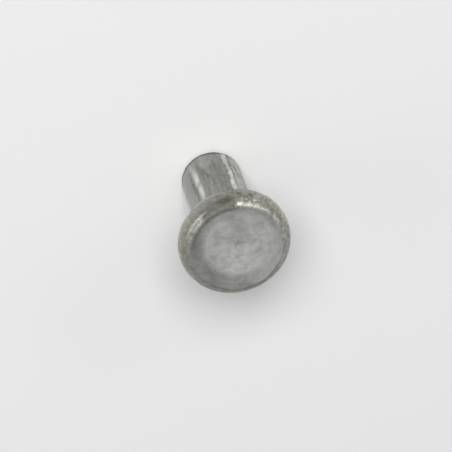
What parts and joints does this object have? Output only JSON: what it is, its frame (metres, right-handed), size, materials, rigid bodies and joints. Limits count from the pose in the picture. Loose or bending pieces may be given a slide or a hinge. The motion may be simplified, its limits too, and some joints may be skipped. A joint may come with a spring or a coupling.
{
  "type": "flat head rivet",
  "caption": "Solid steel rivet with a low flat round head and a plain round shank, set by upsetting the shank's end to clamp plates together.",
  "frame": {"origin": "centre of the head's underside, the plane that seats on the riveted plate", "axes": "+Z along the rivet's axis, out of the head's flat face; the shank runs along -Z; X and Y are free, because the rivet is round"},
  "size_m": [0.0092, 0.0092, 0.012],
  "materials": {
    "steel": "dull satin grey, plain drawn and cold headed steel with a darker stained rim"
  },
  "bodies": {
    "root": {"rivet": "steel"}
  },
  "joints": []
}
